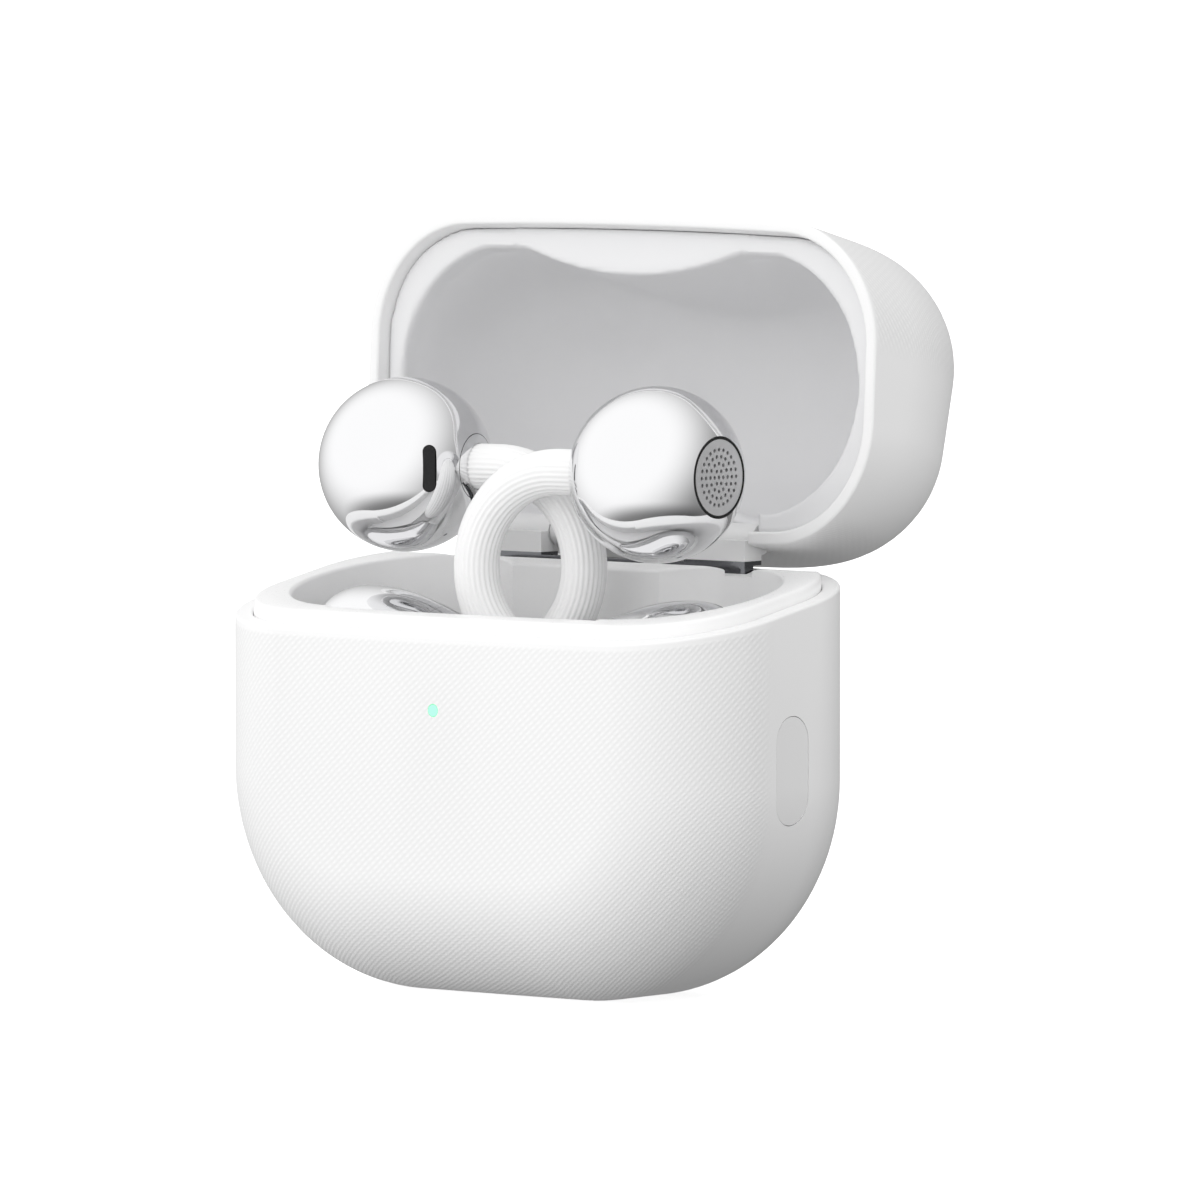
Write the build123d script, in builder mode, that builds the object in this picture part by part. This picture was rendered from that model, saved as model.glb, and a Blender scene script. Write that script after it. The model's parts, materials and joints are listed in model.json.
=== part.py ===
"""Charging case for two clip-on wireless earbuds, lid open, buds seated.

Millimetres. Origin at the centre of the foot, +Z up, +Y to the back where the hinge is,
+X to the side with the button. The lid is built closed and then swung open.
"""

import os
from math import atan2, cos, radians, sin, sqrt, tan

from build123d import *

os.makedirs("parts", exist_ok=True)

# ---------------------------------------------------------------- driving dimensions
# Case outside
case_width = 50.0
case_depth = 25.0
case_height = 51.6
lid_height = 21.25  # from the parting plane to the top, at mid-depth
rim_slope = 10.3  # degrees, the parting plane rises to the back
front_radius = 17.0  # corners as seen from the front
edge_radius = 9.6  # round edge between the faces and the band around them
face_bulge = 0.6  # how far the front and back faces crown

# Walls and gaps
body_wall = 1.4
lid_wall = 1.0
body_liner_wall = 1.8
lid_liner_wall = 1.5
fit_gap = 0.05  # between pieces that are fitted to each other
rim_gap = 0.12  # between lid and body when closed
lip_height = 1.0  # the cradle's lip over the parting plane
rear_lip_height = 0.2  # the same lip behind, where the lid's back swings through
rim_round = 0.25  # rounding of the shells' and the lid liner's rims
lip_round = 0.35
liner_relief = 0.7  # air gap between lid liner and lid shell, away from the rim
liner_band = 3.4  # height of the liner's fitted band over the parting plane
seat_gap = 0.35  # around a seated bud

# Hinge
hinge_inset = 0.9  # axis in from the back face
hinge_rise = 2.35  # axis over the parting plane
open_angle = 103.6  # degrees
knuckle_radius = 1.2
pin_radius = 0.5
hinge_length = 26.0
arm_length = 13.8
arm_reach = 6.2  # up into the lid

# Buds
ball_radius = 6.78
ball_wall = 0.6
bean_radius = 5.5
bean_wall = 0.6
bridge_radius = 1.75
wire_radius = 0.35
neck_radius = 2.95  # of the bean, where the bridge goes in
bud_y = -0.6  # both buds are centred on this plane
bridge_offset = 1.0  # how far off that plane the bridge leaves ball and bean
bridge_swing = 1.3  # how much further out its far side stands
bridge_cross_gap = 0.4  # between a bridge and the other bud's ball
bean_drop = 5.0  # bean axis under the parting plane
ball_headroom = 1.97  # over a ball in the closed lid
ball_side_room = 3.29  # beside a ball in the closed lid
grille_radius = 3.05
grille_hole = 0.15
grille_pitch = 0.53
grille_rings = 4
mic_width = 1.1
mic_height = 3.65
mic_angle = 34.8  # degrees from the bridge towards the other face

# Cradle
cradle_floor = 18.3  # underside of the cradle
scallop_radius = 8.6
block_half_width = 9.5  # rear centre block
block_face = 6.2
waist_depth = 2.0  # how far the lid cavity narrows between its two lobes

# Small fittings
button_width = 3.9
button_height = 8.3
button_z = 18.2
button_travel = 0.3
light_z = 22.4
light_radius = 0.45
port_z = 15.2
port_width = 8.94
port_thickness = 3.2
contact_radius = 0.6
contact_pitch = 3.0
contact_pin_radius = 0.45
sleeve_radius = 0.8
seat_magnet_radius = 1.6
ballast_thickness = 3.0  # steel weight that keeps the case upright with its lid open
ballast_height = 9.5
ballast_half_length = 15.0
battery_depth = 11.0
battery_bottom = 4.5

# ---------------------------------------------------------------- derived places
half_width = case_width / 2
half_depth = case_depth / 2
rim_height = case_height - lid_height
slope = radians(rim_slope)
hinge_y = half_depth - hinge_inset
hinge_z = rim_height + hinge_y * tan(slope) + hinge_rise
hinge_axis = Axis((0, hinge_y, hinge_z), (1, 0, 0))

lid_inset = lid_wall + fit_gap
cavity_inset = lid_inset + lid_liner_wall
cradle_inset = body_wall + fit_gap
well_inset = cradle_inset + body_liner_wall

ball_x = half_width - cavity_inset - ball_side_room - ball_radius
ball_z = case_height - cavity_inset - ball_headroom - ball_radius
bean_tip = half_width - well_inset - seat_gap
bean_x = bean_tip - bean_radius
bean_z = rim_height - bean_drop

# The bridge is a C in an upright plane turned about the line through its two ends
bend_radius = (ball_z - bean_z) / 2
bend_z = (ball_z + bean_z) / 2
bridge_root = ball_x - sqrt(ball_radius**2 - bridge_radius**2)
bridge_far = -(ball_x - ball_radius) + bridge_radius + bridge_cross_gap
bridge_turn = atan2(bridge_swing, bridge_root - bridge_far)
bridge_reach = (bridge_root - bridge_far) / cos(bridge_turn)
bridge_straight = max(bridge_reach - bend_radius, 0.2)
bridge_tuck = 1.2  # how far its ends go into ball and bean
bridge_y = bud_y - bridge_offset
neck_x = bridge_root - 0.4


def rim_plane(rise=0.0):
    """The parting plane, moved along its normal."""
    plane = Plane(origin=(0, 0, rim_height), x_dir=(1, 0, 0), z_dir=(0, -sin(slope), cos(slope)))
    return plane.offset(rise)


def case_block(inset):
    """The closed case as one solid, with every face moved in by inset."""
    bulge_radius = (half_width**2 + face_bulge**2) / (2 * face_bulge) - inset
    face = half_depth - inset
    side = half_width + 1
    side_face = face - bulge_radius + sqrt(bulge_radius**2 - side**2)
    with BuildPart() as block:
        with BuildSketch(Plane.XZ.offset(-case_depth)):
            with Locations((0, case_height / 2)):
                RectangleRounded(case_width - 2 * inset, case_height - 2 * inset, front_radius - inset)
        extrude(amount=2 * case_depth)
        with BuildSketch(Plane.XY):
            with BuildLine():
                ThreePointArc((-side, -side_face), (0, -face), (side, -side_face))
                Line((side, -side_face), (side, side_face))
                ThreePointArc((side, side_face), (0, face), (-side, side_face))
                Line((-side, side_face), (-side, -side_face))
            make_face()
        extrude(amount=case_height, mode=Mode.INTERSECT)
        loops = block.edges().filter_by(lambda e: (e @ 0).Y * (e @ 1).Y > 0)
        fillet(loops, radius=edge_radius - inset)
    return block.part


def rim_edges(piece, plane):
    """The edges of a piece that lie in a plane."""
    foot, normal = plane.origin, plane.z_dir
    return piece.edges().filter_by(lambda e: all(abs((e @ t - foot).dot(normal)) < 0.02 for t in (0, 0.5, 1)))


def box_between(low, high):
    """A plain block between two corners."""
    size = [b - a for a, b in zip(low, high)]
    with BuildPart() as block:
        with Locations(tuple((a + b) / 2 for a, b in zip(low, high))):
            Box(*size)
    return block.part


def rod(plane, radius, start, end):
    """A round bar along a plane's normal, between two heights over it."""
    with BuildPart() as bar:
        with BuildSketch(plane.offset(start)):
            Circle(radius)
        extrude(amount=end - start)
    return bar.part


def stadium_bar(plane, length, width, start, end):
    """A bar of stadium section, long way along the plane's x."""
    with BuildPart() as bar:
        with BuildSketch(plane.offset(start)):
            SlotOverall(length, width)
        extrude(amount=end - start)
    return bar.part


def lobed_column(lobe, spread, waist, bottom, top):
    """Upright column whose plan is two round lobes run together through a smooth waist."""
    waist_radius = (spread**2 + waist**2 - lobe**2) / (2 * (lobe - waist))
    share = lobe / (lobe + waist_radius)
    tx = spread * (1 - share)
    ty = (waist + waist_radius) * share
    with BuildPart() as column:
        with BuildSketch(Plane.XY.offset(bottom)):
            with BuildLine():
                ThreePointArc((tx, ty), (0, waist), (-tx, ty))
                ThreePointArc((-tx, ty), (-spread - lobe, 0), (-tx, -ty))
                ThreePointArc((-tx, -ty), (0, -waist), (tx, -ty))
                ThreePointArc((tx, -ty), (spread + lobe, 0), (tx, ty))
            make_face()
        extrude(amount=top - bottom)
    return column.part


def save(piece, name):
    """Label a finished piece and write it."""
    piece.label = name
    export_step(piece, f"parts/{name}.step")


def swing_open(piece):
    """Turn a piece built on the closed lid to the open position."""
    return piece.rotate(hinge_axis, -open_angle)


def to_left(piece):
    """The left bud is the right one turned half a turn about the upright line between them."""
    return piece.rotate(Axis((0, bud_y, 0), (0, 0, 1)), 180)


back = Plane(origin=(0, 0, 0), x_dir=(-1, 0, 0), z_dir=(0, 1, 0))
side_x = Plane(origin=(0, 0, 0), x_dir=(0, 1, 0), z_dir=(1, 0, 0))


def at(plane, x, y, z):
    """The same plane directions with another origin."""
    return Plane(origin=(x, y, z), x_dir=plane.x_dir, z_dir=plane.z_dir)


# ---------------------------------------------------------------- bud outlines
def bean_block(grow, start):
    """The comfort bean: round outer end, tapering to its neck; grow moves its skin out."""
    fat = bean_radius + grow
    tip = bean_x + fat
    with BuildPart() as bean:
        with BuildSketch(Plane(origin=(0, bud_y, bean_z), x_dir=(1, 0, 0), z_dir=(0, -1, 0))):
            with BuildLine():
                ThreePointArc((tip, 0), (bean_x + fat * sqrt(0.5), fat * sqrt(0.5)), (bean_x, fat))
                taper = Spline((bean_x, fat), (start, neck_radius + grow), tangents=((-1, 0), (-1, -0.3)))
                Line(taper @ 1, (start, 0))
                Line((start, 0), (tip, 0))
            make_face()
        revolve(axis=Axis((0, bud_y, bean_z), (1, 0, 0)))
    return bean.part


def bridge_tube(radius, tuck):
    """Tube along the bridge's line: top run, half turn, bottom run."""
    turn_dir = Vector(-cos(bridge_turn), -sin(bridge_turn), 0)
    across = (-sin(bridge_turn), cos(bridge_turn), 0)
    upright = Plane(origin=(bridge_root, bridge_y, bend_z), x_dir=turn_dir, z_dir=across)
    with BuildPart() as tube:
        with BuildLine(upright):
            Line((-tuck, bend_radius), (bridge_straight, bend_radius))
            ThreePointArc(
                (bridge_straight, bend_radius),
                (bridge_straight + bend_radius, 0),
                (bridge_straight, -bend_radius),
            )
            Line((bridge_straight, -bend_radius), (-tuck, -bend_radius))
        start = upright.from_local_coords(Vector(-tuck, bend_radius, 0))
        with BuildSketch(Plane(origin=start, x_dir=(0, 0, 1), z_dir=turn_dir)):
            Circle(radius)
        sweep()
    return tube.part


# ---------------------------------------------------------------- lid
with BuildPart() as lid_shell:
    add(case_block(0))
    add(case_block(lid_wall), mode=Mode.SUBTRACT)
    split(bisect_by=rim_plane(rim_gap), keep=Keep.TOP)
    notch_half = hinge_length / 2 + 0.3
    notch_top = hinge_z + knuckle_radius + 0.3
    add(
        box_between((-notch_half, half_depth / 2, rim_height - 5), (notch_half, case_depth, notch_top)),
        mode=Mode.SUBTRACT,
    )
    fillet(rim_edges(lid_shell, rim_plane(rim_gap)), radius=rim_round)

lobe_radius = half_depth - cavity_inset
lobe_spread = half_width - cavity_inset - lobe_radius
with BuildPart() as lid_cavity:
    add(case_block(cavity_inset))
    add(
        lobed_column(lobe_radius, lobe_spread, lobe_radius - waist_depth, 0, case_height),
        mode=Mode.INTERSECT,
    )

arm_front = hinge_y - 1.65
arm_back = hinge_y - 0.25
liner_recess = rim_gap + lip_height + 0.15
catch_half = 3.0
catch_thickness = 1.1
catch_height = 3.0
lid_catch_y = -(half_depth - lid_inset - liner_relief - 0.35 - catch_thickness / 2)
lid_catch_z = rim_height + liner_recess + 0.6 + catch_height / 2
lid_catch_box = (
    (-catch_half, lid_catch_y - catch_thickness / 2, lid_catch_z - catch_height / 2),
    (catch_half, lid_catch_y + catch_thickness / 2, lid_catch_z + catch_height / 2),
)


def grown(corners, gap):
    """Corners of a pocket around a block, gap wider all round."""
    low, high = corners
    return box_between([a - gap for a in low], [b + gap for b in high])


with BuildPart() as liner_block:
    add(case_block(lid_inset))
    split(bisect_by=rim_plane(liner_band), keep=Keep.BOTTOM)
    add(case_block(lid_inset + liner_relief))

with BuildPart() as lid_liner:
    add(liner_block.part)
    split(bisect_by=rim_plane(liner_recess), keep=Keep.TOP)
    add(lid_cavity.part, mode=Mode.SUBTRACT)
    add(
        box_between((-notch_half, half_depth / 2, rim_height - 5), (notch_half, case_depth, notch_top)),
        mode=Mode.SUBTRACT,
    )
    arm_room = arm_length / 2 + 0.2
    add(
        box_between(
            (-arm_room, arm_front - 0.1, hinge_z - 3),
            (arm_room, case_depth, hinge_z + arm_reach + 0.2),
        ),
        mode=Mode.SUBTRACT,
    )
    add(grown(lid_catch_box, fit_gap), mode=Mode.SUBTRACT)
    fillet(rim_edges(lid_liner, rim_plane(liner_recess)), radius=rim_round)

lid_catch_magnet = box_between(*lid_catch_box)

# ---------------------------------------------------------------- hinge
knuckle_gap = 0.15
hinge_line = at(side_x, 0, hinge_y, hinge_z)
spring_depth = 2.5
with BuildPart() as hinge_arm:
    half = arm_length / 2
    add(rod(hinge_line, knuckle_radius, -half, half))
    add(box_between((-half, arm_front, hinge_z - 0.8), (half, arm_back, hinge_z + arm_reach)))
    add(rod(hinge_line, pin_radius + 0.03, -half - 1, half + 1), mode=Mode.SUBTRACT)
    for end in (-1, 1):
        low, high = sorted((end * half, end * (half - spring_depth)))
        add(rod(hinge_line, 0.95, low, high), mode=Mode.SUBTRACT)

with BuildPart() as hinge_springs:
    for end in (-1, 1):
        low, high = sorted((end * (half - 0.1), end * (half - spring_depth + 0.1)))
        add(rod(hinge_line, 0.88, low, high))
    add(rod(hinge_line, pin_radius + 0.08, -half, half), mode=Mode.SUBTRACT)

bracket_front = hinge_y - 2.1
bracket_back = hinge_y - 1.0
bracket_bottom = rim_height - 6.8
bracket_top = hinge_z - knuckle_radius - 0.6
rim_at_hinge = rim_height + hinge_y * tan(slope)
screw_x = 10.0
screw_z = bracket_bottom + 3.5
screw_radius = 0.5
with BuildPart() as hinge_bracket:
    end = hinge_length / 2
    add(box_between((-end, bracket_front, bracket_bottom), (end, bracket_back, bracket_top)))
    for side in (-1, 1):
        low, high = sorted((side * (arm_length / 2 + knuckle_gap), side * end))
        add(box_between((low, bracket_front, bracket_top - 0.5), (high, bracket_back, rim_at_hinge + 0.6)))
        add(box_between((low, bracket_front, rim_at_hinge + 0.4), (high, hinge_y, hinge_z)))
        add(rod(hinge_line, knuckle_radius, low, high))
    add(rod(hinge_line, pin_radius + 0.02, -end, end), mode=Mode.SUBTRACT)
    for side in (-1, 1):
        line = at(back, side * screw_x, 0, screw_z)
        add(rod(line, screw_radius + 0.05, 0, case_depth), mode=Mode.SUBTRACT)

hinge_pin = rod(hinge_line, pin_radius, -hinge_length / 2 + 0.1, hinge_length / 2 - 0.1)

with BuildPart() as bracket_screws:
    for side in (-1, 1):
        line = at(back, side * screw_x, 0, screw_z)
        add(rod(line, screw_radius, bracket_front - 1.6, bracket_back))
        add(rod(line, 0.9, bracket_back, bracket_back + 0.2))

# ---------------------------------------------------------------- body shell and its fittings
with BuildPart() as body_shell:
    add(case_block(0))
    add(case_block(body_wall), mode=Mode.SUBTRACT)
    split(bisect_by=rim_plane(), keep=Keep.BOTTOM)
    upright_side = Plane(origin=(0, 0, button_z), x_dir=(0, 0, 1), z_dir=(1, 0, 0))
    hole_height = button_height + 2 * fit_gap
    hole_width = button_width + 2 * fit_gap
    add(stadium_bar(upright_side, hole_height, hole_width, half_width / 2, case_width), mode=Mode.SUBTRACT)
    add(rod(at(Plane.XZ, 0, 0, light_z), light_radius + fit_gap, 0, case_depth), mode=Mode.SUBTRACT)
    trim_wall = 0.8
    trim_length = port_width + 2 * trim_wall + 0.16
    trim_width = port_thickness + 2 * trim_wall + 0.16
    add(
        stadium_bar(at(back, 0, 0, port_z), trim_length + 0.1, trim_width + 0.1, half_depth / 2, case_depth),
        mode=Mode.SUBTRACT,
    )
    fillet(rim_edges(body_shell, rim_plane()), radius=rim_round)

button_sink = 0.03  # its face under the shell's skin
flange_back = half_width - body_wall - 0.55
switch_z = button_z - 1.6
with BuildPart() as button_cap:
    add(case_block(button_sink))
    add(stadium_bar(upright_side, button_height, button_width, flange_back, case_width), mode=Mode.INTERSECT)
with BuildPart() as button_flange:
    add(case_block(body_wall + fit_gap))
    add(
        stadium_bar(upright_side, button_height + 1.0, button_width + 1.0, flange_back, case_width),
        mode=Mode.INTERSECT,
    )
with BuildPart() as side_button:
    add(button_cap.part)
    add(button_flange.part)
    add(rod(at(side_x, 0, 0, switch_z), 0.6, flange_back - 0.1, flange_back + 0.1))

switch_back = flange_back - 0.1 - button_travel - 0.05 - 0.6
button_switch = box_between(
    (switch_back, -1.5, switch_z - 1.5), (switch_back + 0.6, 1.5, min(switch_z + 1.5, cradle_floor - 0.1))
)
button_bracket = box_between(
    (switch_back - 0.7, -3.2, button_z - 5.2), (switch_back - 0.05, 3.2, cradle_floor - 0.1)
)

pipe_flange = half_depth - cradle_inset
light_front = at(Plane.XZ, 0, 0, light_z)
with BuildPart() as light_pipe:
    add(rod(light_front, light_radius, pipe_flange - 0.45, half_depth - 0.01))
    add(rod(light_front, 2 * light_radius, pipe_flange - 0.45, pipe_flange))
light_chip = box_between(
    (-0.8, -(pipe_flange - 0.55), light_z - 0.5), (0.8, -(pipe_flange - 1.05), light_z + 0.5)
)

rear_line = at(back, 0, 0, port_z)
with BuildPart() as port_trim:
    add(stadium_bar(rear_line, trim_length, trim_width, half_depth - body_wall, half_depth - 0.08))
    add(
        stadium_bar(rear_line, port_width + 0.16, port_thickness + 0.16, 0, case_depth),
        mode=Mode.SUBTRACT,
    )
port_front = half_depth - 0.35
port_depth = 7.0
port_wall = 0.3
with BuildPart() as usb_receptacle:
    add(stadium_bar(rear_line, port_width, port_thickness, port_front - port_depth, port_front))
    mouth_width = port_width - 2 * port_wall
    mouth_thickness = port_thickness - 2 * port_wall
    mouth_floor = port_front - port_depth + 1
    add(stadium_bar(rear_line, mouth_width, mouth_thickness, mouth_floor, port_front), mode=Mode.SUBTRACT)
    add(box_between((-3.35, port_front - port_depth, port_z - 0.35), (3.35, port_front - 0.7, port_z + 0.35)))

# ---------------------------------------------------------------- electronics in the body
board_bottom = port_z + port_thickness / 2 + 0.05
board_top = board_bottom + 0.8
board_half = 15.0
main_board = box_between((-board_half, -8.0, board_bottom), (board_half, half_depth - 4.0, board_top))
with BuildPart() as board_chips:
    chip_sizes = ((-4.5, -3.5, 5.0, 5.0), (3.0, -4.0, 4.0, 3.0), (2.5, 3.5, 3.0, 3.0), (-5.0, 4.0, 3.0, 2.0))
    for x, y, wide, long in chip_sizes:
        low = (x - wide / 2, y - long / 2, board_top)
        add(box_between(low, (x + wide / 2, y + long / 2, board_top + 0.5)))

ballast_top = board_bottom - 0.35
ballast_face = half_depth - cradle_inset
ballast_back = -ballast_face + ballast_thickness
with BuildPart() as ballast:
    add(case_block(cradle_inset))
    add(
        box_between(
            (-ballast_half_length, -ballast_face, ballast_top - ballast_height),
            (ballast_half_length, ballast_back, ballast_top),
        ),
        mode=Mode.INTERSECT,
    )

battery_front = ballast_back + 0.15
battery_rear = battery_front + battery_depth
battery_half = board_half - 0.5
with BuildPart() as battery:
    low = (-battery_half, battery_front, battery_bottom)
    add(box_between(low, (battery_half, battery_rear, ballast_top)))
    fillet(battery.edges().filter_by(Axis.X), radius=1.5)
battery_pad = box_between(
    (-10, battery_front + 2.5, battery_bottom - 0.85), (10, battery_rear - 2, battery_bottom - 0.05)
)

# ---------------------------------------------------------------- cradle
contact_xs = (bean_x - contact_pitch / 2, bean_x + contact_pitch / 2)
cup_bottom = bean_z - bean_radius - seat_gap
contact_pin_top = cup_bottom + 0.2
contact_pin_bottom = contact_pin_top - 1.0
magnet_x = bean_x - 6.4
magnet_top = bean_z - bean_radius

scallop_x = bean_tip + seat_gap - scallop_radius
with BuildPart() as well_column:
    with BuildSketch(Plane.XY.offset(bean_z)):
        with Locations((scallop_x, 0), (-scallop_x, 0)):
            Circle(scallop_radius)
        with Locations((0, -half_depth / 2)):
            Rectangle(2 * scallop_x, half_depth)
        with Locations((0, block_face / 2)):
            Rectangle(2 * block_half_width, block_face)
    extrude(amount=case_height)
with BuildPart() as well:
    add(case_block(well_inset))
    add(well_column.part, mode=Mode.INTERSECT)

body_catch_z = rim_height - half_depth * tan(slope) + lip_height - 0.9 - catch_height / 2
body_catch_y = -(half_depth - cradle_inset - 0.3 - catch_thickness / 2)
body_catch_box = (
    (-catch_half, body_catch_y - catch_thickness / 2, body_catch_z - catch_height / 2),
    (catch_half, body_catch_y + catch_thickness / 2, body_catch_z + catch_height / 2),
)
lip_end = hinge_y - 3.1  # the full lip stops here on its way round to the back
with BuildPart() as rear_lip_cut:
    add(box_between((-half_width, lip_end, cradle_floor), (half_width, case_depth, case_height)))
    split(bisect_by=rim_plane(rear_lip_height), keep=Keep.TOP)
with BuildPart() as cradle:
    add(case_block(cradle_inset))
    split(bisect_by=rim_plane(lip_height), keep=Keep.BOTTOM)
    split(bisect_by=Plane.XY.offset(cradle_floor), keep=Keep.TOP)
    add(rear_lip_cut.part, mode=Mode.SUBTRACT)
    add(well.part, mode=Mode.SUBTRACT)
    seat = bean_block(seat_gap, neck_x - 2)
    add(seat, mode=Mode.SUBTRACT)
    add(to_left(seat), mode=Mode.SUBTRACT)
    trough = bridge_radius + seat_gap
    bow = bridge_offset + bridge_swing
    add(
        box_between(
            (-bean_x + bean_radius, bud_y - bow - trough, bean_z - trough),
            (bean_x - bean_radius, bud_y + bow + trough, case_height),
        ),
        mode=Mode.SUBTRACT,
    )
    room = hinge_length / 2 + 0.2
    add(
        box_between((-room, bracket_front - 0.1, bracket_bottom - 0.1), (room, case_depth, case_height)),
        mode=Mode.SUBTRACT,
    )
    add(
        box_between(
            (switch_back - 0.1, -button_width / 2 - 1, 0),
            (case_width, button_width / 2 + 1, button_z + button_height / 2 + 0.8),
        ),
        mode=Mode.SUBTRACT,
    )
    add(box_between((-2, -case_depth, 0), (2, -(pipe_flange - 1.15), light_z + 1.8)), mode=Mode.SUBTRACT)
    add(grown(body_catch_box, fit_gap), mode=Mode.SUBTRACT)
    for side in (-1, 1):
        line = at(back, side * screw_x, 0, screw_z)
        add(rod(line, screw_radius + 0.02, bracket_front - 1.7, case_depth), mode=Mode.SUBTRACT)
        magnet_line = at(Plane.XY, side * magnet_x, bud_y, 0)
        add(rod(magnet_line, seat_magnet_radius + 0.05, 0, magnet_top + 0.05), mode=Mode.SUBTRACT)
        for x in contact_xs:
            line = at(Plane.XY, side * x, bud_y, 0)
            add(rod(line, sleeve_radius + 0.05, 0, cup_bottom - 0.25), mode=Mode.SUBTRACT)
            add(rod(line, contact_pin_radius + 0.05, 0, bean_z), mode=Mode.SUBTRACT)
    fillet(rim_edges(cradle, rim_plane(lip_height)), radius=lip_round)

with BuildPart() as pin_sleeves:
    for side in (-1, 1):
        for x in contact_xs:
            line = at(Plane.XY, side * x, bud_y, 0)
            add(rod(line, sleeve_radius, cradle_floor + 0.05, cup_bottom - 0.3))
            add(rod(line, contact_pin_radius + 0.05, 0, case_height), mode=Mode.SUBTRACT)

with BuildPart() as charge_flex:
    for side in (-1, 1):
        low, high = sorted((side * (magnet_x + 2.0), side * (contact_xs[1] + 1.5)))
        add(box_between((low, bud_y - 1.5, cradle_floor - 0.25), (high, bud_y + 1.5, cradle_floor - 0.05)))

for name, side in (("right", 1), ("left", -1)):
    with BuildPart() as charge_pins:
        for x in contact_xs:
            line = at(Plane.XY, side * x, bud_y, 0)
            add(rod(line, contact_pin_radius, contact_pin_bottom, contact_pin_top))
    save(charge_pins.part, f"{name}_charge_pins")
    magnet_line = at(Plane.XY, side * magnet_x, bud_y, 0)
    seat_magnet = rod(magnet_line, seat_magnet_radius, cradle_floor + 0.05, magnet_top)
    save(seat_magnet, f"{name}_seat_magnet")

# ---------------------------------------------------------------- the right bud; the left is its turned copy
ball_centre = (ball_x, bud_y, ball_z)
ball_out = at(side_x, *ball_centre)
plate_front = sqrt(ball_radius**2 - (grille_radius + 0.1) ** 2)
plate_back = plate_front - 0.3
collar_radius = bridge_radius + 0.75
bridge_dir = Vector(-cos(bridge_turn), -sin(bridge_turn), 0)
collar_start = Vector(bridge_root, bridge_y, ball_z) - bridge_dir * (ball_radius / 3)
collar_line = Plane(origin=collar_start, x_dir=(0, 0, 1), z_dir=bridge_dir)
mic_direction = (-cos(radians(mic_angle)), sin(radians(mic_angle)), 0)
mic_line = Plane(origin=ball_centre, x_dir=(0, 0, 1), z_dir=mic_direction)

bud = {}
tube_room = bridge_tube(bridge_radius + fit_gap, bridge_tuck + 1.0)

with BuildPart() as ball_skin:
    with Locations(ball_centre):
        Sphere(ball_radius)
        Sphere(ball_radius - ball_wall, mode=Mode.SUBTRACT)

with BuildPart() as ball_shell:
    add(ball_skin.part)
    add(rod(collar_line, collar_radius + fit_gap, 0, ball_radius), mode=Mode.SUBTRACT)
    add(rod(ball_out, grille_radius + 0.1, ball_radius / 2, 2 * ball_radius), mode=Mode.SUBTRACT)
    add(stadium_bar(mic_line, mic_height, mic_width, ball_radius / 2, 2 * ball_radius), mode=Mode.SUBTRACT)
bud["ball_shell"] = ball_shell.part

with BuildPart() as ball_collar:
    with Locations(ball_centre):
        Sphere(ball_radius)
    add(rod(collar_line, collar_radius, 0, ball_radius), mode=Mode.INTERSECT)
    split(bisect_by=ball_out.offset(-0.76 * ball_radius), keep=Keep.BOTTOM)
    add(tube_room, mode=Mode.SUBTRACT)
bud["ball_collar"] = ball_collar.part

with BuildPart() as grille:
    add(rod(ball_out, grille_radius, plate_back, plate_front))
    with Locations(ball_out.offset(plate_front)):
        Hole(grille_hole)
    for ring in range(1, grille_rings + 1):
        with Locations(ball_out.offset(plate_front)):
            with PolarLocations(ring * grille_pitch, 6 * ring):
                Hole(grille_hole)
bud["speaker_grille"] = grille.part

with BuildPart() as grille_seat:
    add(rod(ball_out, grille_radius, plate_back - 0.5, plate_back - 0.02))
    add(rod(ball_out, grille_radius - 0.5, 0, ball_radius), mode=Mode.SUBTRACT)
bud["grille_seat"] = grille_seat.part

driver_front = plate_back - 0.6
bud["driver"] = rod(ball_out, grille_radius - 0.1, driver_front - 3.4, driver_front)
bud["ear_board"] = rod(ball_out, 0.75 * ball_radius, -1.0, -0.2)
mesh_back = ball_radius - 0.75
bud["mic_mesh"] = stadium_bar(mic_line, mic_height - 0.1, mic_width - 0.1, mesh_back, mesh_back + 0.5)

wire_room = bridge_tube(wire_radius + 0.03, bridge_tuck + 2)
with BuildPart() as bridge:
    add(bridge_tube(bridge_radius, bridge_tuck))
    add(wire_room, mode=Mode.SUBTRACT)
bud["bridge"] = bridge.part
bud["bridge_wire"] = bridge_tube(wire_radius, bridge_tuck + 0.8)

cap_seam = neck_x + 3.2
bean_inner_start = neck_x + 0.8
pads = []
for x in contact_xs:
    pad_top = bean_z - bean_radius + 1.3
    with BuildPart() as pad:
        add(bean_block(-0.02, neck_x))
        add(rod(at(Plane.XY, x, bud_y, 0), contact_radius, 0, pad_top), mode=Mode.INTERSECT)
    pads.append(pad.part)
with BuildPart() as bean_skin:
    add(bean_block(0, neck_x))
    add(bean_block(-bean_wall, bean_inner_start), mode=Mode.SUBTRACT)
    add(tube_room, mode=Mode.SUBTRACT)
    for x in contact_xs:
        add(rod(at(Plane.XY, x, bud_y, 0), contact_radius + 0.03, 0, bean_z - 2), mode=Mode.SUBTRACT)
with BuildPart() as bean_shell:
    add(bean_skin.part)
    split(bisect_by=at(side_x, cap_seam + 0.01, 0, 0), keep=Keep.TOP)
bud["bean_shell"] = bean_shell.part
with BuildPart() as bean_cap:
    add(bean_skin.part)
    split(bisect_by=at(side_x, cap_seam - 0.01, 0, 0), keep=Keep.BOTTOM)
bud["bean_cap"] = bean_cap.part
cell_line = at(side_x, 0, bud_y, bean_z)
bud["bean_battery"] = rod(cell_line, bean_radius - bean_wall - 1.4, cap_seam + 2.2, bean_x + 3.0)
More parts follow.
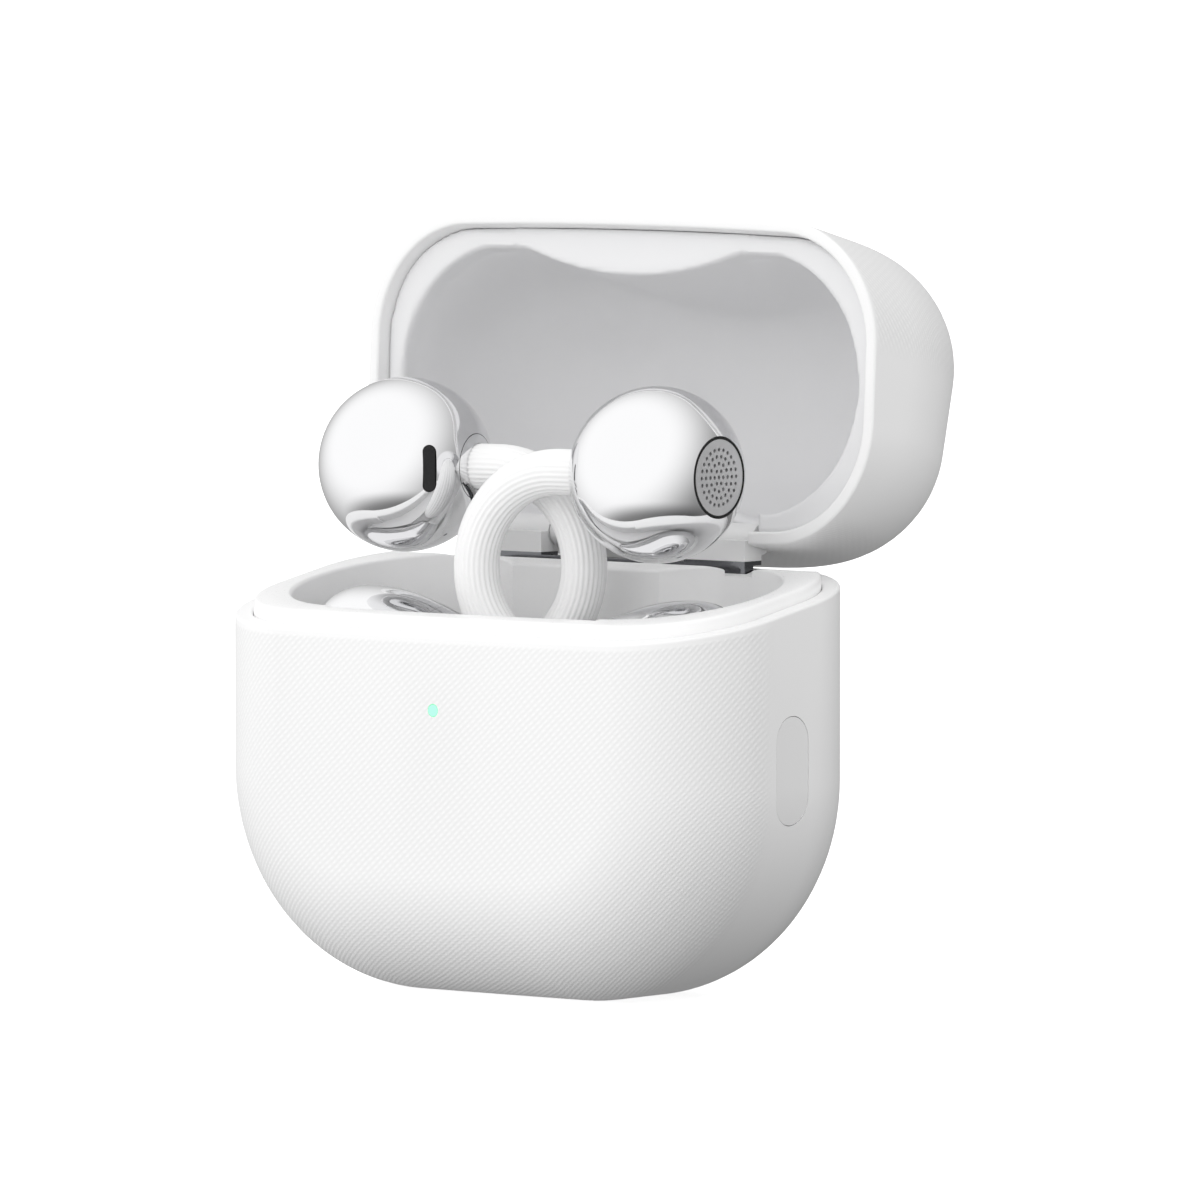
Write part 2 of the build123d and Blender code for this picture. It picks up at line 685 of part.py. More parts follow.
with BuildPart() as bean_contacts:
    for piece in pads:
        add(piece)
bud["bean_contacts"] = bean_contacts.part

for name, piece in bud.items():
    save(piece, f"right_{name}")
    save(to_left(piece), f"left_{name}")

# ---------------------------------------------------------------- write the case
for name, piece in {
    "body_shell": body_shell.part,
    "cradle": cradle.part,
    "side_button": side_button.part,
    "button_switch": button_switch,
    "button_bracket": button_bracket,
    "light_pipe": light_pipe.part,
    "light_chip": light_chip,
    "port_trim": port_trim.part,
    "usb_receptacle": usb_receptacle.part,
    "main_board": main_board,
    "board_chips": board_chips.part,
    "battery": battery.part,
    "ballast": ballast.part,
    "battery_pad": battery_pad,
    "pin_sleeves": pin_sleeves.part,
    "charge_flex": charge_flex.part,
    "body_catch_magnet": box_between(*body_catch_box),
    "hinge_bracket": hinge_bracket.part,
    "bracket_screws": bracket_screws.part,
    "hinge_pin": hinge_pin,
}.items():
    save(piece, name)

for name, piece in {
    "lid_shell": lid_shell.part,
    "lid_liner": lid_liner.part,
    "lid_catch_magnet": lid_catch_magnet,
    "hinge_arm": hinge_arm.part,
    "hinge_springs": hinge_springs.part,
}.items():
    save(swing_open(piece), name)
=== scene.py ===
"""Looks for the charging case with two clip-on earbuds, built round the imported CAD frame."""
import json
import math

import bmesh
import bpy
from mathutils import Matrix, Vector


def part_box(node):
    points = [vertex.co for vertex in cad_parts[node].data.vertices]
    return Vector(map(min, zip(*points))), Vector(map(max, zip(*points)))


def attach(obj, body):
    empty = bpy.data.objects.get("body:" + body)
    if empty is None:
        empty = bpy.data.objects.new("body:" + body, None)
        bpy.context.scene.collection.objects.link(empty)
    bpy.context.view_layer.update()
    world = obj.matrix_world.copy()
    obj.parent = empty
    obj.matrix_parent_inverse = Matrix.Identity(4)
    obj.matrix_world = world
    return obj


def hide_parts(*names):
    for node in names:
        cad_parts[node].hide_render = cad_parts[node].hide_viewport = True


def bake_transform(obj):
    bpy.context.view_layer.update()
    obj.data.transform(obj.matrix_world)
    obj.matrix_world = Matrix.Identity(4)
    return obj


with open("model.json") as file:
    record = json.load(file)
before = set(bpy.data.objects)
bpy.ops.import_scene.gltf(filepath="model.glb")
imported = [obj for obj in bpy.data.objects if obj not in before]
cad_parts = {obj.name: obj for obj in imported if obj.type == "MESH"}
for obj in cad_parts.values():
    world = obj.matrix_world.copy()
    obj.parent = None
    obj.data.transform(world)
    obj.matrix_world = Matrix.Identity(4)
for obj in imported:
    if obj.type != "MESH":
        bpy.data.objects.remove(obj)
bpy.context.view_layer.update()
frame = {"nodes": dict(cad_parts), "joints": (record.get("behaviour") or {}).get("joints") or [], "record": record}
nodes = frame["nodes"]
MM = 0.001


# ---------------------------------------------------------------- colour and nodes
def srgb(code):
    """An sRGB hex code as linear RGBA."""
    channels = [int(code[i : i + 2], 16) / 255 for i in (0, 2, 4)]
    return [c / 12.92 if c <= 0.04045 else ((c + 0.055) / 1.055) ** 2.4 for c in channels] + [1.0]


def add(tree, kind, settings=None, links=None):
    """Adds one node; settings are properties or input values, links are input: (node, output)."""
    node = tree.nodes.new("ShaderNode" + kind)
    for name, value in (settings or {}).items():
        if isinstance(name, str) and hasattr(node, name):
            setattr(node, name, value)
        else:
            node.inputs[name].default_value = value
    for name, (other, output) in (links or {}).items():
        tree.links.new(other.outputs[output], node.inputs[name])
    return node


def finish_of(name, colour, roughness, **inputs):
    """A new Principled material; returns the material, its tree and its shader."""
    made = bpy.data.materials.new(name)
    made.use_nodes = True
    tree = made.node_tree
    shader = tree.nodes["Principled BSDF"]
    shader.inputs["Base Color"].default_value = srgb(colour)
    shader.inputs["Roughness"].default_value = roughness
    for key, value in inputs.items():
        shader.inputs[key.replace("_", " ")].default_value = value
    return made, tree, shader


def grain_bump(tree, shader, grain_mm, depth_mm):
    """A fine random relief of the given grain, in object coordinates."""
    where = add(tree, "TexCoord")
    grain = {"Scale": 1 / (grain_mm * MM), "Detail": 2.0}
    noise = add(tree, "TexNoise", grain, {"Vector": (where, "Object")})
    bump = add(tree, "Bump", {"Distance": depth_mm * MM, "Strength": 1.0}, {"Height": (noise, "Fac")})
    tree.links.new(bump.outputs["Normal"], shader.inputs["Normal"])
    return noise


def roughness_range(tree, shader, noise, low, high):
    """Roughness that wanders between two values with a noise."""
    usual = {"From Min": 0.3, "From Max": 0.7, "To Min": low, "To Max": high}
    spread = add(tree, "MapRange", usual, {"Value": (noise, "Fac")})
    tree.links.new(spread.outputs["Result"], shader.inputs["Roughness"])


# ---------------------------------------------------------------- finishes
RIB_PITCH = 0.40  # mm between the ribs of the moulded twill
BEAD_PITCH = 0.62  # mm between the breaks along a rib
RIB_LEAN = 40.0  # degrees from level, rising to the button side
RELIEF = 0.022  # mm, how far the ribs stand up
OPEN_ANGLE = 103.6  # degrees the lid stands open, so its texture is read as if it were shut
HINGE = Vector(next(joint["pos_m"] for joint in frame["joints"] if joint["name"] == "lid_hinge"))
CLOSE_TURN = Matrix.Rotation(math.radians(OPEN_ANGLE), 3, "X")
CLOSE_SHIFT = HINGE - CLOSE_TURN @ HINGE
RIM_HEIGHT = 30.35  # mm, the parting plane at mid-depth
RIM_RISE = math.tan(math.radians(10.3))
FACE_LOW = (-8 * MM, -1.0, 17 * MM)  # flat middle of the front, inside its round corners
FACE_HIGH = (8 * MM, 1.0, 34.6 * MM)
HALF_DEPTH = 12.5  # mm
UNROLL = 0.75  # how far the ribs are let out round the edge, as a share of the depth behind the face
RIB_WANDER = 0.16  # mm that the ribs stray from a straight line
WANDER_SCALE = 700.0  # wander about every 1.4 mm
FINE_GRAIN = 4200.0  # spark-eroded grain of about 0.24 mm between the ribs
FINE_SHARE = 0.16  # the grain's height as a share of the ribs'
FRONT_FADE = (-2.0, -4.5)  # mm of depth over which the relief starts on the front
REAR_FADE = (9.4, 11.0)  # and on the back
RIM_FADE = (0.4, 0.7)  # mm from the parting line that stay smooth
CASE_MIDDLE = (0, 0, 25.8 * MM)
HOLLOW_PAINTED_SHADE = 0.93  # painted shade: how much darker the base colour is painted in the hollows between the ribs


def wave_scale(pitch_mm):
    """Wave Texture scale that repeats once in the given number of millimetres."""
    return 2 * math.pi / (20 * pitch_mm * MM)


def twill_shell(name, swung=False):
    """Moulded polycarbonate: white, with a fine twill relief that dulls its sheen and stops at the sides, and
    painted shade in its hollows.
    """
    made, tree, shader = finish_of(name, "F5F5F5", 0.46, IOR=1.5)
    coords = add(tree, "TexCoord")
    here, here_out, facing, facing_out = coords, "Object", coords, "Normal"
    if swung:
        turned = {"Location": CLOSE_SHIFT, "Rotation": (math.radians(OPEN_ANGLE), 0, 0)}
        here, here_out = add(tree, "Mapping", turned, {"Vector": (coords, "Object")}), "Vector"
        only_turned = {"vector_type": "NORMAL", "Rotation": (math.radians(OPEN_ANGLE), 0, 0)}
        facing, facing_out = add(tree, "Mapping", only_turned, {"Vector": (coords, "Normal")}), "Vector"
    # unroll the round edge: move each point outwards by its depth behind the face
    above = add(tree, "VectorMath", {"operation": "MAXIMUM", 1: FACE_LOW}, {0: (here, here_out)})
    inside = add(tree, "VectorMath", {"operation": "MINIMUM", 1: FACE_HIGH}, {0: (above, "Vector")})
    outward = add(tree, "VectorMath", {"operation": "SUBTRACT"}, {0: (here, here_out), 1: (inside, "Vector")})
    way_out = add(tree, "VectorMath", {"operation": "NORMALIZE"}, {0: (outward, "Vector")})
    place = add(tree, "SeparateXYZ", None, {"Vector": (here, here_out)})
    depth = add(tree, "Math", {"operation": "ABSOLUTE"}, {0: (place, "Y")})
    behind = add(tree, "Math", {"operation": "SUBTRACT", 0: HALF_DEPTH * MM}, {1: (depth, "Value")})
    reach = add(tree, "Math", {"operation": "MULTIPLY", 1: UNROLL}, {0: (behind, "Value")})
    pushed = {0: (way_out, "Vector"), "Scale": (reach, "Value")}
    push = add(tree, "VectorMath", {"operation": "SCALE"}, pushed)
    flat = add(tree, "VectorMath", {"operation": "ADD"}, {0: (here, here_out), 1: (push, "Vector")})
    turn = add(tree, "Mapping", {"Rotation": (0, math.radians(RIB_LEAN), 0)}, {"Vector": (flat, "Vector")})
    wobble = add(tree, "TexNoise", {"Scale": WANDER_SCALE, "Detail": 2.0}, {"Vector": (turn, "Vector")})
    uneven = {"operation": "MULTIPLY_ADD", 1: (RIB_WANDER * MM, 0.0, RIB_WANDER * MM)}
    shift = add(tree, "VectorMath", uneven, {0: (wobble, "Color"), 2: (turn, "Vector")})
    ribs, beads = (
        add(
            tree, "TexWave",
            {"wave_type": "BANDS", "wave_profile": "SIN", "bands_direction": way, "Scale": wave_scale(pitch)},
            {"Vector": (shift, "Vector")},
        )
        for way, pitch in (("Z", RIB_PITCH), ("X", BEAD_PITCH))
    )
    knots = add(tree, "Math", {"operation": "MULTIPLY_ADD", 1: 0.6, 2: 0.4}, {0: (beads, "Fac")})
    relief = add(tree, "Math", {"operation": "MULTIPLY"}, {0: (ribs, "Fac"), 1: (knots, "Value")})
    # where the relief is moulded: the front as far as the side band, the flat of the back, never the rims
    front, rear = (
        add(
            tree, "MapRange",
            {"interpolation_type": "SMOOTHSTEP", "From Min": start * MM, "From Max": end * MM},
            {"Value": (place, "Y")},
        )
        for start, end in (FRONT_FADE, REAR_FADE)
    )
    faces = add(tree, "Math", {"operation": "MAXIMUM"}, {0: (front, "Result"), 1: (rear, "Result")})
    slope = {"operation": "MULTIPLY_ADD", 1: RIM_RISE, 2: RIM_HEIGHT * MM}
    rise = add(tree, "Math", slope, {0: (place, "Y")})
    from_rim = add(tree, "Math", {"operation": "SUBTRACT"}, {0: (place, "Z"), 1: (rise, "Value")})
    gap = add(tree, "Math", {"operation": "ABSOLUTE"}, {0: (from_rim, "Value")})
    clear_rim = add(
        tree, "MapRange",
        {"interpolation_type": "SMOOTHSTEP", "From Min": RIM_FADE[0] * MM, "From Max": RIM_FADE[1] * MM},
        {"Value": (gap, "Value")},
    )
    middle = add(tree, "VectorMath", {"operation": "SUBTRACT", 1: CASE_MIDDLE}, {0: (here, here_out)})
    both = {0: (middle, "Vector"), 1: (facing, facing_out)}
    outside = add(tree, "VectorMath", {"operation": "DOT_PRODUCT"}, both)
    skin = add(tree, "MapRange", {"From Min": 0.0, "From Max": 1.0 * MM}, {"Value": (outside, "Value")})
    masked = add(tree, "Math", {"operation": "MULTIPLY"}, {0: (faces, "Value"), 1: (clear_rim, "Result")})
    mask = add(tree, "Math", {"operation": "MULTIPLY"}, {0: (masked, "Value"), 1: (skin, "Result")})
    worn = add(tree, "Math", {"operation": "MULTIPLY"}, {0: (relief, "Value"), 1: (mask, "Value")})
    fine = add(tree, "TexNoise", {"Scale": FINE_GRAIN, "Detail": 2.0}, {"Vector": (here, here_out)})
    summed = {"operation": "MULTIPLY_ADD", 1: FINE_SHARE}
    total = add(tree, "Math", summed, {0: (fine, "Fac"), 2: (worn, "Value")})
    bump = add(tree, "Bump", {"Distance": RELIEF * MM, "Strength": 1.0}, {"Height": (total, "Value")})
    tree.links.new(bump.outputs["Normal"], shader.inputs["Normal"])
    # painted shade: the base colour is darkened in the hollows between the ribs
    less = {"operation": "MULTIPLY_ADD", 1: -1.0}
    hollow = add(tree, "Math", less, {0: (mask, "Value"), 2: (worn, "Value")})
    shade_span = {"From Min": -1.0, "From Max": 0.0, "To Min": HOLLOW_PAINTED_SHADE, "To Max": 1.0}
    painted_shade = add(tree, "MapRange", shade_span, {"Value": (hollow, "Value")})
    multiplied = {"data_type": "RGBA", "blend_type": "MULTIPLY", 0: 1.0, 6: srgb("F6F6F6")}
    shaded_base = add(tree, "Mix", multiplied, {7: (painted_shade, "Result")})
    tree.links.new(shaded_base.outputs[2], shader.inputs["Base Color"])
    return made


def moulded(name, colour, roughness, grain=0.12, depth=0.004):
    """Plain injection-moulded plastic: an even colour and a faint spark-eroded grain."""
    made, tree, shader = finish_of(name, colour, roughness, IOR=1.5)
    noise = grain_bump(tree, shader, grain, depth)
    roughness_range(tree, shader, noise, roughness - 0.05, roughness + 0.05)
    return made


def metal(name, colour, roughness, grain=0.2, depth=0.001):
    """Polished or satin metal; faint wander in its roughness."""
    made, tree, shader = finish_of(name, colour, roughness, Metallic=1.0)
    noise = grain_bump(tree, shader, grain, depth)
    roughness_range(tree, shader, noise, max(roughness - 0.03, 0.02), roughness + 0.04)
    return made


def lacquered_hinge(name, bare, lacquer, edge):
    """Polished dark steel plate whose knuckles carry a white lacquer above the given height."""
    made, tree, shader = finish_of(name, bare, 0.15)
    grain_bump(tree, shader, 0.2, 0.001)
    coords = add(tree, "TexCoord")
    height = add(tree, "SeparateXYZ", None, {"Vector": (coords, "Object")})
    line = {"From Min": (edge - 0.02) * MM, "From Max": (edge + 0.02) * MM}
    coated = add(tree, "MapRange", line, {"Value": (height, "Z")})
    colour = add(tree, "Mix", {"data_type": "RGBA", 6: srgb(bare), 7: srgb(lacquer)}, {0: (coated, "Result")})
    steel = add(tree, "Math", {"operation": "SUBTRACT", 0: 1.0}, {1: (coated, "Result")})
    rough = add(tree, "MapRange", {"To Min": 0.15, "To Max": 0.4}, {"Value": (coated, "Result")})
    tree.links.new(colour.outputs[2], shader.inputs["Base Color"])
    tree.links.new(steel.outputs["Value"], shader.inputs["Metallic"])
    tree.links.new(rough.outputs["Result"], shader.inputs["Roughness"])
    return made


finishes = {
    # woven-look moulding: soft white that scatters light and never glares
    "case_shell": twill_shell("moulded_twill_polycarbonate"),
    "swung_case_shell": twill_shell("moulded_twill_polycarbonate_lid", swung=True),
    # smooth satin mouldings with broad soft highlights: the body's liner brighter than the shell, the lid's hollow
    # greyer, which is painted shade
    "liner": moulded("satin_white_abs", "FAFAFA", 0.32),
    # painted shade: the lid's hollow takes a greyer copy of the liner's white for its shaded inside
    "lid_cavity": moulded("satin_white_abs_lid", "E9E9EA", 0.36),
    "button": moulded("fine_matt_white_abs", "EFEFEF", 0.42),
    "inner_plastic": moulded("natural_nylon", "C9C8C4", 0.5),
    "hinge_arm": moulded("white_glass_filled_nylon", "E6E6E6", 0.35),
    # ribbed rubber: a soft, warm-looking sheen along each ridge
    "bridge_silicone": moulded("liquid_silicone", "F6F6F6", 0.45),
    # mirror finish: nearly no scatter, so it shows its surroundings sharply
    "bud_chrome": metal("mirror_metallising", "E9E9EA", 0.03, 2.0, 0.0004),
    # bare and plated metals: grey with blurred reflections
    "hinge_steel": lacquered_hinge("part_lacquered_hinge_steel", "6C6D70", "ECECEC", 33.2),
    "grille_steel": metal("etched_satin_steel", "F0F0F1", 0.55, 0.08, 0.002),
    "trim_metal": metal("anodised_trim", "C9CACC", 0.3),
    "steel": metal("plated_steel", "B4B5B8", 0.25),
    "battery_can": metal("battery_foil", "BFC0C4", 0.35),
    "magnet": metal("nickel_plated_magnet", "A9AAAE", 0.22),
    "gold_contact": metal("gold_plate", "D9B25F", 0.2),
    # parts inside: dull resin, lacquered board and foam that swallow light
    "circuit_board": moulded("green_solder_mask", "1D3B2A", 0.4),
    "electronic": moulded("black_epoxy", "1A1A1C", 0.5),
    "foam": moulded("closed_cell_foam", "2A2A2A", 0.9, 0.4, 0.05),
    "black_trim": moulded("black_acoustic_mesh", "0B0B0C", 0.6, 0.1, 0.02),
}
# clear rod over a lit diode: pale green that glows a little by itself
finishes["light_pipe"], _, glow_shader = finish_of("lit_light_pipe", "A1EEC8", 0.3)
glow_shader.inputs["Emission Color"].default_value = srgb("7CEBB4")
glow_shader.inputs["Emission Strength"].default_value = 0.55

slots = {row["node"]: row["material_slot"] for row in frame["record"]["subparts"]}
bodies = frame["record"]["behaviour"]["bodies"]
body_of = {node: body for body, names in bodies.items() for node in names}
for node, piece in nodes.items():
    piece.data.materials.clear()
    piece.data.materials.append(finishes[slots[node]])


# ---------------------------------------------------------------- welded skins of the moulded pieces
def place(name, mesh, finish, body, *replaced):
    """Links a finished mesh, gives it its finish, hides the parts it stands for and hangs it on the body that
    carries it, if one body does.
    """
    piece = bpy.data.objects.new(name, mesh)
    bpy.context.scene.collection.objects.link(piece)
    mesh.materials.clear()
    mesh.materials.append(finishes[finish])
    if body:
        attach(piece, body)
    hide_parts(*replaced)
    return piece


def verts_of(made):
    """The vertices among what a bmesh operator returned."""
    return [part for part in made if isinstance(part, bmesh.types.BMVert)]


SHARP = math.radians(32.0)  # edges that turn more than this stay crisp
WELD = 2e-6  # metres
SPHERE_SLACK = 0.02  # mm off the ball within which a face takes the ball's own normals


def welded(node, finish=None, centre=None, radius=None):
    """A welded, smooth-shaded copy of a moulded piece; a ball's skin gets a true sphere's normals."""
    work = bmesh.new()
    work.from_mesh(nodes[node].data)
    bmesh.ops.remove_doubles(work, verts=work.verts, dist=WELD)
    for face in work.faces:
        face.smooth = True
    for edge in work.edges:
        edge.smooth = edge.calc_face_angle(0.0) < SHARP
    mesh = bpy.data.meshes.new(node + "_skin")
    work.to_mesh(mesh)
    work.free()
    if centre is not None:
        normals = [corner.vector.copy() for corner in mesh.corner_normals]
        for face in mesh.polygons:
            for loop in face.loop_indices:
                out = mesh.vertices[mesh.loops[loop].vertex_index].co - centre
                on_ball = abs(out.length - radius) < SPHERE_SLACK * MM
                if on_ball and out.normalized().dot(face.normal) > 0.9:
                    normals[loop] = out.normalized()
        mesh.normals_split_custom_set(normals)
    return place(node + "_skin", mesh, finish or slots[node], body_of[node], node)


def softened(node, voxel, passes, chosen):
    """A remeshed copy whose inner hollow is blended smooth, with the mouth left as moulded."""
    source = bpy.data.objects.new("soften", nodes[node].data.copy())
    bpy.context.scene.collection.objects.link(source)
    remesh = source.modifiers.new("remesh", "REMESH")
    remesh.mode, remesh.voxel_size = "VOXEL", voxel
    mesh = bpy.data.meshes.new_from_object(source.evaluated_get(bpy.context.evaluated_depsgraph_get()))
    bpy.data.objects.remove(source)
    work = bmesh.new()
    work.from_mesh(mesh)
    inside = [vert for vert in work.verts if chosen(vert.co)]
    for _ in range(passes):
        bmesh.ops.smooth_vert(
            work, verts=inside, factor=0.5, use_axis_x=True, use_axis_y=True, use_axis_z=True,
        )
    for face in work.faces:
        face.smooth = True
    work.to_mesh(mesh)
    work.free()
    mesh.name = node + "_skin"
    return mesh


MOUTH_DEPTH = 3.2  # mm of the lid's mouth that keep their moulded edge
BLEND_VOXEL, BLEND_PASSES = 0.32, 140  # mm, and rounds of smoothing


def deep_in_lid(point):
    """Whether a point of the open lid's liner lies well inside its mouth."""
    shut = CLOSE_TURN @ point + CLOSE_SHIFT
    from_rim = (shut.z - (RIM_HEIGHT * MM + shut.y * RIM_RISE)) * math.cos(math.atan(RIM_RISE))
    return from_rim > MOUTH_DEPTH * MM


welded("body_shell")
welded("lid_shell", finish="swung_case_shell")
blended = softened("lid_liner", BLEND_VOXEL * MM, BLEND_PASSES, deep_in_lid)
place("lid_liner_skin", blended, "lid_cavity", body_of["lid_liner"], "lid_liner")
welded("cradle")
welded("side_button")
BALL_RADIUS = 6.78  # mm
BALL_X, BALL_Z, BUD_Y = 12.38, 40.3, -0.6  # mm, a ball's middle
RING_SIDES = 96
for side in ("left", "right"):
    ball_low, ball_high = (Vector(corner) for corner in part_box(side + "_ball_shell"))
    middle = (ball_low + ball_high) / 2
    middle.x = math.copysign(BALL_X * MM, middle.x)
    welded(side + "_ball_shell", centre=middle, radius=BALL_RADIUS * MM)
    welded(side + "_ball_collar", centre=middle, radius=BALL_RADIUS * MM)
    welded(side + "_bean_shell")
    welded(side + "_bean_cap")

def grille_ring(side, name, inner, outer, lift, finish):
    """A thin raised ring round the edge of a speaker grille, turned from a circle."""
    mesh = nodes[side + "_speaker_grille"].data
    face = max(mesh.polygons, key=lambda polygon: polygon.area)
    low, high = (Vector(corner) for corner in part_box(side + "_speaker_grille"))
    centre = (low + high) / 2
    ball = Vector((math.copysign(BALL_X, centre.x), BUD_Y, BALL_Z)) * MM
    facing = face.normal.copy()
    if facing.dot(centre - ball) < 0:
        facing = -facing
    top = max((vert.co - centre).dot(facing) for vert in mesh.vertices)
    turn = facing.to_track_quat("Z", "Y").to_matrix()
    work = bmesh.new()
    bmesh.ops.create_circle(work, segments=RING_SIDES, radius=outer)
    bmesh.ops.create_circle(work, segments=RING_SIDES, radius=inner)
    bmesh.ops.bridge_loops(work, edges=list(work.edges))
    made = bmesh.ops.extrude_face_region(work, geom=list(work.faces))["geom"]
    bmesh.ops.translate(work, vec=(0, 0, 2 * lift), verts=verts_of(made))
    bmesh.ops.translate(work, vec=(0, 0, -lift), verts=work.verts)
    bmesh.ops.recalc_face_normals(work, faces=work.faces)
    bmesh.ops.rotate(work, cent=(0, 0, 0), matrix=turn, verts=work.verts)
    bmesh.ops.scale(work, vec=(MM, MM, MM), verts=work.verts)
    bmesh.ops.translate(work, vec=centre + facing * top, verts=work.verts)
    ring_mesh = bpy.data.meshes.new(side + name)
    work.to_mesh(ring_mesh)
    work.free()
    ring_mesh.materials.append(finishes[finish])
    piece = bpy.data.objects.new(side + name, ring_mesh)
    bpy.context.scene.collection.objects.link(piece)
    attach(piece, body_of[side + "_speaker_grille"])
    return piece


for side in ("left", "right"):
    grille_ring(side, "_grille_gasket", 2.91, 3.08, 0.02, "black_trim")

# ---------------------------------------------------------------- ribbed silicone bridges and their wires
BRIDGE_ROOT, BRIDGE_FAR, BRIDGE_Y = 5.83, -3.45, -1.6  # mm, the right bud's root, bend and depth
BEND_RADIUS, BEND_Z = 7.475, 32.825
BRIDGE_RADIUS, WIRE_RADIUS = 1.73, 0.35
SWING = 1.3  # mm that the bend's far side stands in front of the root
TUCK = 1.2  # mm of each end hidden in its socket
RIDGES = 27
RIDGE_HEIGHT = 0.045  # mm


def bridge_sweep(name, side, radius, ridge, tuck, around, steps):
    """A C-shaped tube: straight out of the ball, half a turn, straight into the bean."""
    turn = math.atan2(SWING, BRIDGE_ROOT - BRIDGE_FAR)
    out = Vector((-math.cos(turn), -math.sin(turn), 0))
    straight = (BRIDGE_ROOT - BRIDGE_FAR) / math.cos(turn) - BEND_RADIUS
    start = Vector((BRIDGE_ROOT, BRIDGE_Y, BEND_Z + BEND_RADIUS)) - out * tuck
    across = out.cross(Vector((0, 0, 1)))
    work = bmesh.new()
    ring = bmesh.ops.create_circle(work, segments=around, radius=1.0)["verts"]
    for vert in ring:
        angle = math.atan2(vert.co.y, vert.co.x)
        size = radius + ridge * math.cos(RIDGES * angle)
        vert.co = start + (across * math.cos(angle) + Vector((0, 0, 1)) * math.sin(angle)) * size
    edges = list(work.edges)
    for length in (tuck, straight):
        made = bmesh.ops.extrude_edge_only(work, edges=edges)["geom"]
        bmesh.ops.translate(work, vec=out * length, verts=verts_of(made))
        edges = [g for g in made if isinstance(g, bmesh.types.BMEdge) and all(v in made for v in g.verts)]
    centre = start + out * (tuck + straight) - Vector((0, 0, BEND_RADIUS))
    made = bmesh.ops.spin(
        work, geom=edges + list({v for e in edges for v in e.verts}),
        cent=centre, axis=-across, angle=math.pi, steps=steps,
    )["geom_last"]
    edges = [g for g in made if isinstance(g, bmesh.types.BMEdge)]
    for length in (straight, tuck):
        made = bmesh.ops.extrude_edge_only(work, edges=edges)["geom"]
        bmesh.ops.translate(work, vec=-out * length, verts=verts_of(made))
        edges = [g for g in made if isinstance(g, bmesh.types.BMEdge) and all(v in made for v in g.verts)]
    bmesh.ops.holes_fill(work, edges=[e for e in work.edges if e.is_boundary])
    bmesh.ops.scale(work, vec=(MM, MM, MM), verts=work.verts)
    if side == "left":
        half_turn = Matrix.Rotation(math.pi, 3, "Z")
        bmesh.ops.rotate(work, cent=(0, BUD_Y * MM, 0), matrix=half_turn, verts=work.verts)
    bmesh.ops.recalc_face_normals(work, faces=work.faces)
    for face in work.faces:
        face.smooth = len(face.verts) == 4
    mesh = bpy.data.meshes.new(name)
    work.to_mesh(mesh)
    work.free()
    return mesh


for side, sign in (("left", -1), ("right", 1)):
    for node, radius, ridge, around, steps, tuck in (
        ("_bridge", BRIDGE_RADIUS, RIDGE_HEIGHT, 4 * RIDGES, 56, TUCK),
        ("_bridge_wire", WIRE_RADIUS, 0.0, 16, 40, TUCK + 0.8),
    ):
        mesh = bridge_sweep(side + node + "_sleeve", side, radius, ridge, tuck, around, steps)
        piece = place(side + node + "_sleeve", mesh, slots[side + node], None, side + node)
        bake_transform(piece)

# ---------------------------------------------------------------- floor, light and camera
FLOOR_REACH = 12.0  # metres each way
floor_mesh = bmesh.new()
bmesh.ops.create_grid(floor_mesh, x_segments=2, y_segments=2, size=FLOOR_REACH)
floor_data = bpy.data.meshes.new("floor")
floor_mesh.to_mesh(floor_data)
floor = bpy.data.objects.new("floor", floor_data)
bpy.context.scene.collection.objects.link(floor)
paper, _, paper_shader = finish_of("white_paper_sweep", "F2F2F2", 0.9)
paper_shader.inputs["Emission Color"].default_value = srgb("FFFFFF")
paper_shader.inputs["Emission Strength"].default_value = 0.7
floor_data.materials.append(paper)
floor.visible_diffuse = False
floor.visible_glossy = False

